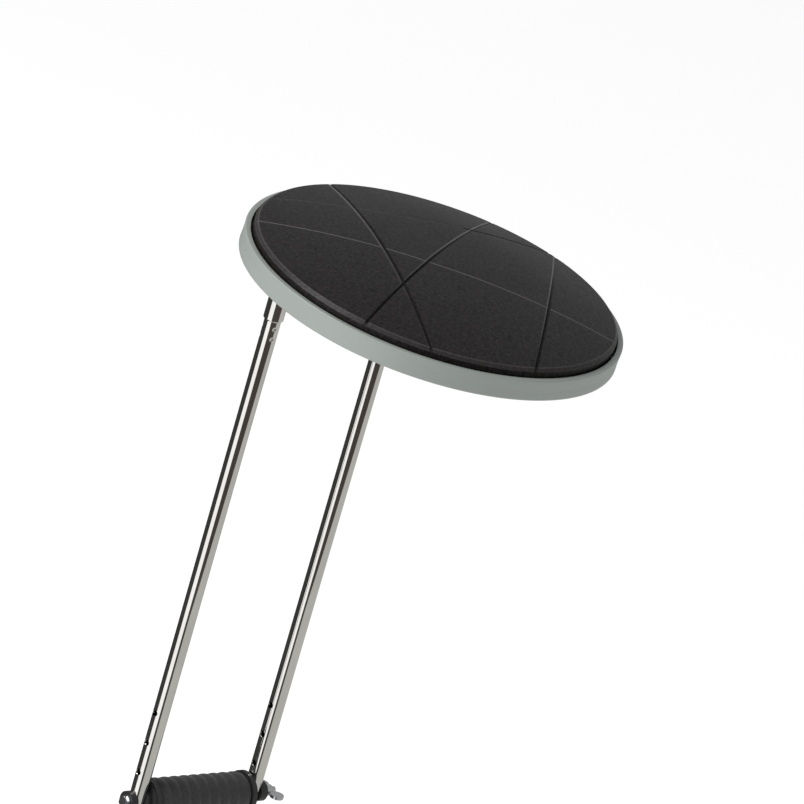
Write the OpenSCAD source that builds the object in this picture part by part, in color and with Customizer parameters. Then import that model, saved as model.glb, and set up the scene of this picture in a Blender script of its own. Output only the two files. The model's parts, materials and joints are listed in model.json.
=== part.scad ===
// Underarm crutch with a round, crowned arm rest carried to one side of two slim uprights.
// Millimetres. +Z runs up the leg, the origin is the middle of the rubber tip's sole, and the
// two uprights stand side by side at -Y (left) and +Y (right). The arm rest reaches out to +X.

/* [Arm rest] */
// Height of the rest's rim plane above the sole, measured at the uprights
rest_height = 1180; // [1150:1:1230]
// Slope of the rest, down towards +X: it comes level when the foot stands under it
rest_tilt = 4.9; // [3:0.1:7]
// Distance from the uprights to the middle of the rest, along its slope
rest_reach = 94.9; // [90:0.1:102]
// Outer radius of the tray
tray_r = 143.8; // [138:0.1:150]
// Width of the tray's upright lip
lip_w = 4.4; // [3:0.1:6]
// Height of the tray, from its lower edge to its rim
tray_h = 16.4; // [15:0.1:20]
// Thickness of the tray's floor and ribs
tray_wall = 3; // [2.5:0.1:3.5]
// Height of the pad's edge above the rim
pad_edge_h = 6.1; // [4:0.1:9]
// Rise of the crown above the pad's edge
crown_h = 14.4; // [10:0.1:20]
// Thickness of the plywood board in the pad
board_t = 5; // [4:0.1:5.5]

/* [Uprights] */
// Outside diameter of the upright tubes
upright_d = 12.7; // [12:0.1:13.5]
// Wall of the upright tubes
upright_wall = 1.2; // [1:0.1:1.5]
// Half the distance between the middles of the uprights
upright_y = 56; // [54:0.1:58]
// Diameter of the posts that join the uprights to the bracket
post_d = 15.3; // [15:0.1:16]
// Distance from the rim plane down to the lower end of the posts
post_drop = 81.1; // [76:0.1:90]

/* [Hand grip] */
// Height of the hand grip at rest
grip_z = 700; // [690:1:710]
// Distance between two grip holes, and between two leg holes
pitch = 25; // [24:0.1:25.4]
// Outside diameter of the foam sleeve
grip_d = 33; // [30:0.5:34]
// Thread diameter of the grip bolt
bolt_d = 5; // [4.5:0.1:5.2]

/* [Leg] */
// Height of the fork block's lower face
fork_z = 365; // [360:1:370]
// Height of the fork block
fork_h = 80; // [76:1:84]
// Height of the leg tube's lower end
outer_z = 130; // [128:1:134]
// Outside diameter of the fixed leg tube
outer_d = 22.2; // [22:0.1:22.4]
// Outside diameter of the sliding leg tube
inner_d = 19.05; // [19:0.01:19.1]
// Wall of both leg tubes
leg_wall = 1.2; // [1:0.05:1.25]
// Height of the two snap buttons at rest
button_z = 290; // [288:1:292]
// Diameter of the rubber tip's foot
tip_d = 44; // [40:1:48]

/* [Hidden] */
$fn = 64;
eps = 0.01;

// arm rest, all heights from the rim plane
lip_r = tray_r - lip_w;
pad_r = lip_r - 1.2;
floor_top = -9.4;
floor_under = floor_top - tray_wall;
board_r = 131;
board_top = floor_top + 0.2 + board_t;
crown_r = (pad_r * pad_r + crown_h * crown_h) / (2 * crown_h);
rib_count = 12;
rib_t = 2.4;
hub_r = 22;
plate_t = 3;
plate_top = -tray_h;
plate_under = plate_top - plate_t;
screw_x = [-55, 45];
screw_y = 40;
screw_d = 5;
washer_t = 1;
nut_flange_t = 1.2;

// the place on the bracket where a post's axis crosses its underside
post_u = -rest_reach - plate_under * tan(rest_tilt);
post_end_z = rest_height - post_drop;
post_screw_d = 6;
spigot_len = 26;
dimple_drops = [5.5, 13.5];
dimple_r = 2.6;
dimple_depth = 0.8;
dimple_turn = -13.6;

// uprights, traced downwards for the right-hand one; a bend is a hair fatter than its
// straights, which run a little way into it
upright_r = upright_d / 2;
fork_bend_r = 60;
bend_swell = 0.02;
bend_lap = 0.5;
fork_y = 21;
slant_top_z = 590;
slant_low_z = 462;
slant = atan((upright_y - fork_y) / (slant_top_z - slant_low_z));
fork_floor = 4;

// fork block and leg
outer_r = outer_d / 2;
outer_in_r = outer_r - leg_wall;
inner_r = inner_d / 2;
inner_in_r = inner_r - leg_wall;
fork_top = fork_z + fork_h;
inner_low = 12;
inner_top = button_z + 20;
rivet_r = 2;
rivet_head_r = 4;
rivet_z = [fork_z + 20, fork_z + 60];
rivet_half = fork_y + 10.5;
rivet_seat_y = fork_y + 9.6;
bush_flange_h = 8;
bush_h = 30;
button_r = 3.9;
button_tip = 14.2;
button_base = 5.2;
holes_up = 2;
holes_down = 4;

// hand grip
grip_bore_r = bolt_d / 2 + 0.15;
tube_clear = 0.3;
core_r = 11;
flange_r = grip_d / 2 + 0.5;
flange_t = 5;
flange_out = upright_y - upright_r - tube_clear;
saddle_in = upright_y + 4;
saddle_out = upright_y + 10;
nut_gap = 0.05;
nut_y = saddle_out + 2 * nut_gap + 1;
bolt_end = nut_y + 11;

chrome = [0.80, 0.80, 0.78];
zinc = [0.66, 0.67, 0.68];
tray_grey = [0.60, 0.65, 0.63];
charcoal = [0.16, 0.155, 0.155];
black = [0.10, 0.10, 0.10];

// ---- shared shapes ----

// Places children in the rest's own frame: the middle of the rim plane, with the rest's slope
module at_rest() {
    translate([0, 0, rest_height]) rotate([0, rest_tilt, 0]) translate([rest_reach, 0, 0]) children();
}

// A disc or rod between two heights
module rod(r, low, high) {
    translate([0, 0, low]) cylinder(h = high - low, r = r);
}

// A rod along Y between two places
module cross_rod(r, low, high) {
    translate([0, low, 0]) rotate([-90, 0, 0]) cylinder(h = high - low, r = r);
}

// A straight tube between two heights
module tube(r_out, r_in, low, high) {
    difference() {
        rod(r_out, low, high);
        rod(r_in, low - 1, high + 1);
    }
}

// The round bar of radius r that turns towards +Y by angle, on a bend of radius bend_r
module bend(r, angle, bend_r) {
    translate([0, bend_r, 0]) rotate([-90, 0, 0]) rotate([0, 90, 0])
        rotate_extrude(angle = angle, $fn = 128) translate([bend_r, 0]) circle(r = r);
}

// A round bar that runs down through straights and bends, each step [length, turn], with its
// two ends moved out by extra
module path(r, bend_r, steps, extra, i = 0) {
    last = len(steps) - 1;
    run = steps[i][0];
    turn = steps[i][1];
    side = turn < 0 ? -1 : 1;
    rod(r, -run - (i == last ? extra : bend_lap), i == 0 ? extra : bend_lap);
    if (i < last) translate([0, 0, -run]) {
        mirror([0, turn < 0 ? 1 : 0, 0]) bend(r + bend_swell, abs(turn), bend_r);
        translate([0, side * bend_r, 0]) rotate([turn, 0, 0]) translate([0, -side * bend_r, 0])
            path(r, bend_r, steps, extra, i + 1);
    }
}

module both_sides() {
    children();
    mirror([0, 1, 0]) children();
}

// ---- arm rest ----

// Points along the crown, from the pad's edge to its middle
function crown_points(steps) = [
    for (i = [0:steps]) let (x = pad_r * (1 - i / steps))
        [x, pad_edge_h + crown_h - crown_r + sqrt(crown_r * crown_r - x * x)]
];

module pad_cushion() {
    low = floor_top + 0.3;
    outline = [[0, board_top], [board_r + 0.3, board_top], [board_r + 0.3, low], [pad_r, low]];
    color(charcoal) at_rest() rotate_extrude() polygon(concat(outline, crown_points(10)));
}

module at_rest_screws() {
    for (x = screw_x, y = [-screw_y, screw_y]) translate([x, y, 0]) children();
}

module pad_board() {
    color("burlywood") at_rest() difference() {
        rod(board_r, floor_top + 0.2, board_top);
        at_rest_screws() {
            rod(3.5, floor_top - 1, board_top + 1);
            rod(9.2, board_top - nut_flange_t - 0.1, board_top + 1);
        }
    }
}

module board_nuts() {
    color(zinc) at_rest() at_rest_screws() difference() {
        union() {
            rod(9, board_top - nut_flange_t, board_top);
            rod(3.4, floor_top + 0.2, board_top - nut_flange_t + eps);
        }
        rod(screw_d / 2 + 0.05, floor_top - 1, board_top + 1);
    }
}

module rest_tray() {
    top_bevel = 0.8;
    low_bevel = 1.2;
    skirt_r = tray_r - tray_wall;
    rib_low = 0.4 - tray_h;
    lap = 1;
    outline = [
        [0, floor_top], [lip_r, floor_top], [lip_r, 0], [tray_r - top_bevel, 0],
        [tray_r, -top_bevel], [tray_r, low_bevel - tray_h], [tray_r - low_bevel, -tray_h],
        [skirt_r, -tray_h], [skirt_r, floor_under], [0, floor_under]
    ];
    color(tray_grey) at_rest() difference() {
        union() {
            rotate_extrude($fn = 180) polygon(outline);
            for (i = [0:rib_count - 1]) rotate([0, 0, (i + 0.5) * 360 / rib_count])
                translate([hub_r - lap, -rib_t / 2, rib_low])
                    cube([skirt_r - hub_r + 2 * lap, rib_t, floor_under - rib_low + lap]);
            difference() {
                rod(hub_r, rib_low - 0.2, floor_under + lap);
                rod(hub_r - tray_wall, rib_low - 1, floor_under - 0.5);
            }
            at_rest_screws() rod(8, -tray_h, floor_under + lap);
        }
        at_rest_screws() rod(screw_d / 2 + 0.3, -tray_h - 1, floor_top + 1);
    }
}

module rest_screws() {
    shank_low = plate_under - washer_t;
    color(zinc) at_rest() at_rest_screws() {
        rod(screw_d / 2, shank_low - eps, board_top - 0.8);
        difference() {
            union() {
                rod(4.7, shank_low - 2, shank_low);
                translate([0, 0, shank_low - 3.2]) cylinder(h = 1.2, r1 = 3.4, r2 = 4.7);
            }
            rotate([0, 0, 30]) rod(1.5, shank_low - 4, shank_low - 1.4, $fn = 6);
        }
    }
}

module rest_washers() {
    color(zinc) at_rest() at_rest_screws()
        tube(6, screw_d / 2 + 0.2, plate_under - washer_t, plate_under);
}

// ---- bracket and posts ----

module head_bracket() {
    back_x = post_u;
    front_x = screw_x[1];
    half_y = 41;
    corner_r = 12;
    color(black) at_rest() difference() {
        union() {
            translate([back_x - corner_r, -half_y, plate_under])
                cube([front_x - back_x + 2 * corner_r, 2 * half_y, plate_t]);
            translate([back_x, -half_y - corner_r, plate_under])
                cube([front_x - back_x, 2 * (half_y + corner_r), plate_t]);
            for (x = [back_x, front_x], y = [-half_y, half_y])
                translate([x, y, 0]) rod(corner_r, plate_under, plate_top);
            for (side = [-1, 1]) translate([post_u, side * upright_y, 0])
                rod(14, plate_under, plate_top);
        }
        for (x = [-58, 0]) translate([x, 0, 0]) rod(24, plate_under - 1, plate_top + 1);
        at_rest_screws() rod(screw_d / 2 + 0.3, plate_under - 1, plate_top + 1);
        for (side = [-1, 1]) translate([post_u, side * upright_y, 0])
            rod(post_screw_d / 2 + 0.3, plate_under - 1, plate_top + 1);
    }
}

module post_screws() {
    color(zinc) at_rest() for (side = [-1, 1]) translate([post_u, side * upright_y, 0]) {
        rod(post_screw_d / 2 - 0.05, plate_under - 14, plate_top + eps);
        difference() {
            union() {
                rod(5.2, plate_top, plate_top + 1.6);
                translate([0, 0, plate_top + 1.6]) cylinder(h = 1.6, r1 = 5.2, r2 = 3.6);
            }
            rod(2, plate_top + 1.2, plate_top + 4, $fn = 6);
        }
    }
}

module post() {
    seat_r = upright_r - upright_wall - 0.1;
    edge = post_d / 2 - upright_r - 0.15;
    difference() {
        translate([0, upright_y, 0]) {
            translate([0, 0, post_end_z]) cylinder(h = edge, r1 = post_d / 2 - edge, r2 = post_d / 2);
            rod(post_d / 2, post_end_z + edge, rest_height);
            rod(seat_r, post_end_z - spigot_len, post_end_z + eps);
        }
        at_rest() {
            translate([-250, -250, plate_under]) cube([300, 500, 60]);
            translate([post_u, upright_y, 0]) rod(post_screw_d / 2, plate_under - 16, 0);
        }
    }
}

// The right-hand upright's centre line as a round bar, with its two ends moved out by extra
module upright_bar(r, extra) {
    cut = fork_bend_r * tan(slant / 2);
    steps = [
        [post_end_z - slant_top_z - cut, -slant],
        [(slant_top_z - slant_low_z) / cos(slant) - 2 * cut, slant],
        [slant_low_z - fork_z - fork_floor - cut, 0]
    ];
    translate([0, upright_y, post_end_z]) path(r, fork_bend_r, steps, extra);
}

module upright() {
    difference() {
        upright_bar(upright_r, 0);
        upright_bar(upright_r - upright_wall, 1);
        for (step = [-3:3]) translate([0, 0, grip_z + step * pitch]) cross_rod(grip_bore_r, 30, 80);
        for (z = rivet_z) translate([0, 0, z]) cross_rod(rivet_r + 0.05, 5, 40);
        translate([0, upright_y, post_end_z]) for (drop = dimple_drops, i = [0:2])
            rotate([0, 0, -dimple_turn + 120 * i])
                translate([upright_r + dimple_r - dimple_depth, 0, -drop]) sphere(r = dimple_r);
    }
}

module left_post() { color(chrome) mirror([0, 1, 0]) post(); }
module right_post() { color(chrome) post(); }
module left_upright() { color(chrome) mirror([0, 1, 0]) upright(); }
module right_upright() { color(chrome) upright(); }

// ---- fork and fixed leg ----

// A rod with a cone-shaped bevel at each end
module bevelled_rod(r, low, high, bevel) {
    rod(r, low + bevel, high - bevel);
    translate([0, 0, low]) cylinder(h = bevel, r1 = r - bevel, r2 = r);
    translate([0, 0, high - bevel]) cylinder(h = bevel, r1 = r, r2 = r - bevel);
}

module fork_block() {
    web = 8;
    color(tray_grey) difference() {
        union() {
            bevelled_rod(outer_r + 4.4, fork_z, fork_top, 2);
            both_sides() translate([0, fork_y, 0]) bevelled_rod(upright_r + 4, fork_z, fork_top, 2);
            translate([-web, -fork_y, fork_z + 2]) cube([2 * web, 2 * fork_y, fork_h - 4]);
        }
        rod(outer_r + 0.05, fork_z - 1, fork_top + 1);
        both_sides() translate([0, fork_y, 0]) rod(upright_r + 0.05, fork_z + fork_floor, fork_top + 1);
        for (z = rivet_z) translate([0, 0, z]) {
            cross_rod(rivet_r + 0.05, -50, 50);
            both_sides() cross_rod(rivet_head_r + 0.4, rivet_seat_y, 50);
        }
    }
}

module fork_rivets() {
    color(zinc) for (z = rivet_z) translate([0, 0, z]) {
        cross_rod(rivet_r, -rivet_half, rivet_half);
        both_sides() translate([0, rivet_seat_y, 0]) rotate([-90, 0, 0]) {
            cylinder(h = 1, r = rivet_head_r);
            translate([0, 0, 1]) cylinder(h = 1, r1 = rivet_head_r, r2 = rivet_head_r - 1.6);
        }
    }
}

module leg_plug() {
    color(black) {
        rod(outer_in_r - 0.05, fork_top - 12, fork_top + eps);
        translate([0, 0, fork_top]) cylinder(h = 2, r = outer_r);
        translate([0, 0, fork_top + 2]) cylinder(h = 2, r1 = outer_r, r2 = outer_r - 3.5);
    }
}

module leg_outer_tube() {
    color(chrome) difference() {
        tube(outer_r, outer_in_r, outer_z, fork_top);
        for (step = [-holes_down:holes_up]) translate([0, 0, button_z + step * pitch])
            cross_rod(button_r + 0.2, -20, 20);
        for (z = rivet_z) translate([0, 0, z]) cross_rod(rivet_r + 0.05, -20, 20);
    }
}

module leg_bush() {
    color(black) difference() {
        union() {
            bevelled_rod(outer_r + 1.6, outer_z - bush_flange_h, outer_z, 1.2);
            rod(outer_in_r - 0.04, outer_z - eps, outer_z + bush_h);
        }
        rod(inner_r + 0.07, outer_z - bush_flange_h - 1, outer_z + bush_h + 1);
    }
}

// ---- sliding leg ----

module leg_inner_tube() {
    color(chrome) difference() {
        tube(inner_r, inner_in_r, inner_low, inner_top);
        translate([0, 0, button_z]) cross_rod(button_r + 0.08, -15, 15);
    }
}

module guide_ring() {
    color(black) tube(outer_in_r - 0.06, inner_r, inner_top - 13, inner_top - 1);
}

module snap_spring() {
    half_w = 3;
    strip = 0.6;
    root_r = 1.5;
    lap = 0.2;
    root_z = button_z - 46;
    tab_low = button_z - 6;
    arm_dy = button_base - strip - root_r + strip / 2;
    arm_dz = tab_low - root_z;
    arm_len = sqrt(arm_dy * arm_dy + arm_dz * arm_dz);
    color(zinc) {
        both_sides() {
            translate([-half_w, button_base - strip, tab_low]) cube([2 * half_w, strip, 13]);
            translate([-half_w, root_r - strip / 2, root_z]) rotate([-atan(arm_dy / arm_dz), 0, 0])
                translate([0, 0, -lap]) cube([2 * half_w, strip, arm_len + 2 * lap]);
        }
        translate([-half_w, 0, root_z]) rotate([0, 90, 0]) difference() {
            cylinder(h = 2 * half_w, r = root_r + strip / 2);
            translate([0, 0, -1]) cylinder(h = 2 * half_w + 2, r = root_r - strip / 2);
            translate([-10, -5, -1]) cube([10, 10, 2 * half_w + 2]);
        }
    }
}

module button() {
    color(zinc) translate([0, 0, button_z]) {
        cross_rod(button_r + 1.1, button_base, button_base + 1.2);
        intersection() {
            cross_rod(button_r, button_base, button_tip + 1);
            translate([0, button_tip - 6, 0]) rotate([-90, 0, 0]) union() {
                sphere(r = 6);
                rod(button_r + 1, -10, 2);
            }
        }
    }
}

module left_button() { mirror([0, 1, 0]) button(); }
module right_button() { button(); }

module tip_washer() {
    color(zinc) rod(inner_r, inner_low - 2, inner_low);
}

module rubber_tip() {
    tip_r = tip_d / 2;
    neck_r = 13.4;
    tip_h = 58;
    color(charcoal) difference() {
        union() {
            cylinder(h = 1.5, r1 = tip_r - 1.5, r2 = tip_r);
            rod(tip_r, 1.5, 7);
            translate([0, 0, 7]) cylinder(h = 15, r1 = tip_r - 0.6, r2 = neck_r + 1);
            rod(neck_r, 20, tip_h - 1);
            for (z = [24, 31, 38, 45]) bevelled_ring(neck_r + 1, z, 4);
            bevelled_ring(neck_r + 1.6, tip_h - 6, 6);
        }
        rod(inner_r + 0.02, inner_low - 2, tip_h + 1);
        for (r = [9, 14, 19]) difference() {
            rod(r + 1, -1, 2.2);
            rod(r - 1, -2, 3);
        }
    }
}

// A raised band round a rod, with sloped edges
module bevelled_ring(r, low, h) {
    bevel = 1;
    bevelled_rod(r, low, low + h, bevel);
}

// ---- hand grip ----

module at_grip() { translate([0, 0, grip_z]) children(); }

// Room for one upright, with the grip's clearance all round
module upright_room() {
    both_sides() translate([0, upright_y, 0]) rod(upright_r + tube_clear, -30, 30);
}

module grip_core() {
    core_end = upright_y - 3;
    color(black) at_grip() difference() {
        union() {
            cross_rod(core_r, -core_end, core_end);
            both_sides() {
                cross_rod(flange_r - 1, flange_out - flange_t, flange_out);
                cross_rod(flange_r, flange_out - flange_t, flange_out - 1);
            }
        }
        cross_rod(grip_bore_r, -core_end - 1, core_end + 1);
        upright_room();
    }
}

module grip_foam() {
    half = flange_out - flange_t - 0.2;
    color(charcoal) at_grip() difference() {
        cross_rod(grip_d / 2, -half, half);
        cross_rod(core_r + 0.1, -half - 1, half + 1);
    }
}

module grip_bolt() {
    head_h = 3.5;
    color(zinc) at_grip() {
        cross_rod(bolt_d / 2, -saddle_out - eps, bolt_end);
        translate([0, -saddle_out - head_h, 0]) rotate([-90, 30, 0]) cylinder(h = head_h, r = 4.62, $fn = 6);
        translate([0, -saddle_out - 0.8, 0]) rotate([-90, 0, 0]) cylinder(h = 0.8, r = 5.4);
    }
}

module grip_saddles() {
    color(black) at_grip() both_sides() difference() {
        cross_rod(8, saddle_in, saddle_out);
        cross_rod(grip_bore_r, saddle_in - 1, saddle_out + 1);
        upright_room();
    }
}

module nut_washer() {
    low = saddle_out + nut_gap;
    color(zinc) at_grip() difference() {
        cross_rod(6, low, low + 1);
        cross_rod(bolt_d / 2 + 0.1, low - 1, low + 2);
    }
}

module wing_nut() {
    color(zinc) at_grip() difference() {
        union() {
            translate([0, nut_y, 0]) rotate([-90, 0, 0]) cylinder(h = 7, r1 = 5.4, r2 = 4.3);
            for (side = [-1, 1]) {
                translate([side * 10, nut_y + 6.5, -1.2]) cylinder(h = 2.4, r = 5.5);
                translate([side * 6 - 4, nut_y + 2.5, -1.2]) cube([8, 4, 2.4]);
            }
        }
        cross_rod(bolt_d / 2 + 0.06, nut_y - 1, nut_y + 14);
    }
}

pad_cushion();
pad_board();
board_nuts();
rest_tray();
rest_screws();
rest_washers();
head_bracket();
post_screws();
left_post();
right_post();
left_upright();
right_upright();
fork_block();
fork_rivets();
leg_plug();
leg_outer_tube();
leg_bush();
leg_inner_tube();
guide_ring();
snap_spring();
left_button();
right_button();
tip_washer();
rubber_tip();
grip_core();
grip_foam();
grip_bolt();
grip_saddles();
nut_washer();
wing_nut();
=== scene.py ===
"""The looks of an underarm crutch, built round its packed frame.

Metres throughout, in the frame's own axes: +Z up the leg, the uprights at -Y and +Y, and the
round arm rest reaching out to +X. Pieces of the rest are made about the middle of its rim
plane, with +Z along its own slope, and REST puts them in place.
"""

import json
import math

import bmesh
import bpy
from bpy.props import FloatProperty, FloatVectorProperty, IntProperty, PointerProperty
from mathutils import Matrix, Vector


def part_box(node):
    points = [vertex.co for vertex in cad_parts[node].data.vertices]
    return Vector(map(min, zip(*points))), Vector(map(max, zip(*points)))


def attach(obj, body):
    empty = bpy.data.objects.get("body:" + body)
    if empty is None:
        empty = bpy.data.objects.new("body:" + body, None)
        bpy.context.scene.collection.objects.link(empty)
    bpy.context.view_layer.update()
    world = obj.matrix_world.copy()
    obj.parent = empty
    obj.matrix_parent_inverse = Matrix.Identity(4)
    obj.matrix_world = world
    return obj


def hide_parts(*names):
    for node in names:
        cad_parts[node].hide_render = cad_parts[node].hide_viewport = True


bl_info = {
    "name": "Underarm Crutch",
    "version": (1, 0, 0),
    "blender": (4, 5, 0),
    "location": "View3D > Sidebar > Crutch",
    "description": "Builds the pad, tray, tubes, grip and tip of an underarm crutch",
    "category": "Object",
}

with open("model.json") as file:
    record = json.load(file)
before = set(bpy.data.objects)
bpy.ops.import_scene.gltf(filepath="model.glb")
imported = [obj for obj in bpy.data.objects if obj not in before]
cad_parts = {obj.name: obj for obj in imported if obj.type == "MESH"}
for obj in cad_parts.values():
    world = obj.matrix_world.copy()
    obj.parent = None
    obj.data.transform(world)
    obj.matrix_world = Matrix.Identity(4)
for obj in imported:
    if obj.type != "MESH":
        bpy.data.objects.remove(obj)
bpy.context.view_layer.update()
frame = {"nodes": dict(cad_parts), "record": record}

MM = 0.001
MOUNTS = {m["name"]: m for m in frame["record"]["mounts"]}

# The rest's own axes: its slope comes from the mount on top of the pad
PAD_OVER_RIM = 20.5 * MM
REST_UP = Vector(MOUNTS["arm_rest"]["axis"]).normalized()
REST_MIDDLE = Vector(MOUNTS["arm_rest"]["pos_m"]) - REST_UP * PAD_OVER_RIM
REST_TILT = math.atan2(REST_UP.x, REST_UP.z)
REST = Matrix.Translation(REST_MIDDLE) @ Matrix.Rotation(REST_TILT, 4, "Y")


def middle(node):
    """The middle of a CAD node's box."""
    low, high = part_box(node)
    return (low + high) / 2


def size(node):
    """The size of a CAD node's box."""
    low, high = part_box(node)
    return high - low


# ---------------------------------------------------------------- settings


def length(name, about, default):
    """A length setting, in metres."""
    return FloatProperty(name=name, description=about, default=default, subtype="DISTANCE",
                         unit="LENGTH", precision=5)


def angle(name, about, degrees):
    """An angle setting, given in degrees."""
    return FloatProperty(name=name, description=about, default=math.radians(degrees),
                         subtype="ANGLE", unit="ROTATION")


def scaling(name, about, low):
    """A share of a modelled size, from low up to twice that size."""
    return FloatProperty(name=name, description=about, default=1.0, min=low, max=2.0)


def colour(name, about, default):
    """A colour setting."""
    return FloatVectorProperty(name=name, description=about, default=default, subtype="COLOR",
                               size=3, min=0.0, max=1.0)


class PadSettings(bpy.types.PropertyGroup):
    """The crowned pad and the grooves in its skin"""
    edge_radius: length("Edge radius", "Radius of the crown's edge, inside the bevel", 135.7 * MM)
    wall_radius: length("Wall radius", "Radius of the upright side wall", 138.0 * MM)
    edge_height: length("Edge height", "Height of the crown's edge above the tray's rim", 6.4 * MM)
    bevel_height: length("Bevel height", "Height that the bevel drops", 2.7 * MM)
    crown_height: length("Crown height", "Rise of the crown above its edge", 14.1 * MM)
    groove_width: scaling("Groove width", "Share of the wide grooves' width", 0.2)
    groove_depth: scaling("Groove depth", "Share of the wide grooves' depth", 0.0)
    line_width: scaling("Line width", "Share of the fine lines' width", 0.2)
    line_depth: scaling("Line depth", "Share of the fine lines' depth", 0.0)
    skin: colour("Skin", "Colour of the moulded skin", (0.0088, 0.0068, 0.0068))
    # Colour of the painted highlight on the fine lines, the crown's edge, the bevel and the lit
    # groove walls
    painted_highlight: colour("Highlighted skin", "Colour of the fine lines and rubbed edges", (0.125, 0.12, 0.117))


class TraySettings(bpy.types.PropertyGroup):
    """The shallow tray that the pad sits in"""
    radius: length("Radius", "Outer radius of the band", 143.8 * MM)
    lip: length("Lip", "Width of the lip round the pad", 4.4 * MM)
    height: length("Height", "Height of the band", 16.4 * MM)
    wall: length("Wall", "Thickness of the skirt and the floor", 3.0 * MM)
    floor: length("Floor depth", "Depth of the floor under the rim", 9.4 * MM)
    hollow: length("Hollow", "How far the band curves in at half its height", 0.35 * MM)
    ribs: IntProperty(name="Ribs", description="Stiffening ribs under the floor", default=12)
    plastic: colour("Plastic", "Colour of the moulded plastic", (0.300, 0.330, 0.310))


class TubeSettings(bpy.types.PropertyGroup):
    """The plated tubes and the fasteners"""
    chrome: colour("Chrome", "Colour of the polished plate", (0.80, 0.79, 0.77))
    zinc: colour("Zinc", "Colour of the zinc plate", (0.58, 0.59, 0.61))
    coat: colour("Coat", "Colour of the bracket's powder coat", (0.022, 0.022, 0.024))


class GripSettings(bpy.types.PropertyGroup):
    """The foam sleeve of the hand grip"""
    ribs: IntProperty(name="Ribs", description="Raised rings along the sleeve", default=9)
    rib_height: length("Rib height", "Height of the raised rings", 1.1 * MM)
    foam: colour("Foam", "Colour of the foam", (0.030, 0.030, 0.031))


class TipSettings(bpy.types.PropertyGroup):
    """The rubber tip"""
    ribs: IntProperty(name="Ribs", description="Raised rings round the neck", default=4)
    rubber: colour("Rubber", "Colour of the rubber", (0.045, 0.045, 0.047))


class StageSettings(bpy.types.PropertyGroup):
    """The camera, the floor and the lights"""
    azimuth: angle("Azimuth", "Turn of the camera round the leg", 46.2)
    elevation: angle("Elevation", "Height of the camera's view", 19.5)
    roll: angle("Roll", "Lean of the camera", 16.4)
    distance: length("Distance", "Distance of the camera from the rest", 4.0)
    aim_left: length("Aim left", "How far left of the rest's middle the camera aims", 24.0 * MM)
    aim_down: length("Aim down", "How far under the rest's middle the camera aims", 86.8 * MM)
    lens: FloatProperty(name="Lens", description="Focal length, in millimetres", default=248.5)


# ---------------------------------------------------------------- mesh helpers


def filleted(outline, steps=4):
    """The points of an outline whose corners (x, y, fillet) are rounded to those fillets."""
    points = []
    last = len(outline) - 1
    for i, (x, y, fillet) in enumerate(outline):
        here = Vector((x, y))
        if fillet <= 0 or i in (0, last):
            points.append(here)
            continue
        back = Vector(outline[i - 1][:2]) - here
        ahead = Vector(outline[i + 1][:2]) - here
        corner = back.angle(ahead)
        reach = min(fillet / math.tan(corner / 2), 0.49 * back.length, 0.49 * ahead.length)
        start = here + back.normalized() * reach
        end = here + ahead.normalized() * reach
        for step in range(steps + 1):
            t = step / steps
            points.append((1 - t) ** 2 * start + 2 * t * (1 - t) * here + t * t * end)
    return points


def lathe(points, segments=96, closed=False, hexed=()):
    """A turned bmesh: points are (radius, height), and rings in hexed are six-sided."""
    made = bmesh.new()
    rings = []
    sixth = math.pi / 3
    for row, (radius, height) in enumerate(points):
        if radius < 1e-7:
            rings.append([made.verts.new((0, 0, height))])
            continue
        ring = []
        for i in range(segments):
            turn = 2 * math.pi * i / segments
            out = radius
            if row in hexed:
                out = radius * math.cos(sixth / 2) / math.cos(turn % sixth - sixth / 2)
            ring.append(made.verts.new((out * math.cos(turn), out * math.sin(turn), height)))
        rings.append(ring)
    pairs = list(zip(rings, rings[1:]))
    if closed:
        pairs.append((rings[-1], rings[0]))
    for low, high in pairs:
        for i in range(segments):
            j = (i + 1) % segments
            if len(low) == 1 and len(high) == 1:
                break
            if len(low) == 1:
                made.faces.new((low[0], high[j], high[i]))
            elif len(high) == 1:
                made.faces.new((low[i], low[j], high[0]))
            else:
                made.faces.new((low[i], low[j], high[j], high[i]))
    bmesh.ops.recalc_face_normals(made, faces=made.faces)
    return made


def new_object(name, data):
    """A new object, linked to the scene."""
    made = bpy.data.objects.new(name, data)
    bpy.context.scene.collection.objects.link(made)
    return made


def loose_mesh(name, corners, faces=()):
    """A mesh of corners and, where they are given, flat faces."""
    mesh = bpy.data.meshes.new(name)
    mesh.from_pydata([tuple(corner) for corner in corners], [], faces)
    return mesh


def smoothed(mesh, place, sharp):
    """A mesh put in place, and shaded smooth up to an angle in degrees."""
    if place is not None:
        mesh.transform(place)
    mesh.shade_smooth()
    mesh.set_sharp_from_angle(angle=math.radians(sharp))
    return mesh


def to_mesh(made, name, place=None, sharp=35):
    """A bmesh as a mesh, put in place and shaded smooth up to an angle in degrees."""
    mesh = bpy.data.meshes.new(name)
    made.to_mesh(mesh)
    made.free()
    return smoothed(mesh, place, sharp)


def add_piece(name, mesh, material, body, slot, *nodes):
    """A finished piece that rides on a body and stands for CAD nodes."""
    piece = new_object(name, mesh)
    if material is not None:
        mesh.materials.clear()
        mesh.materials.append(material)
    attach(piece, body)
    if nodes:
        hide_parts(*nodes)
    return piece


def paint(material, *nodes):
    """Gives CAD nodes a material."""
    for name in nodes:
        node = frame["nodes"][name]
        node.data.materials.clear()
        node.data.materials.append(material)


def along_y(place):
    """The matrix that lays a turned shape's axis along +Y at a place."""
    return Matrix.Translation(place) @ Matrix.Rotation(-math.pi / 2, 4, "X")


# ---------------------------------------------------------------- nodes and materials


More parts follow.
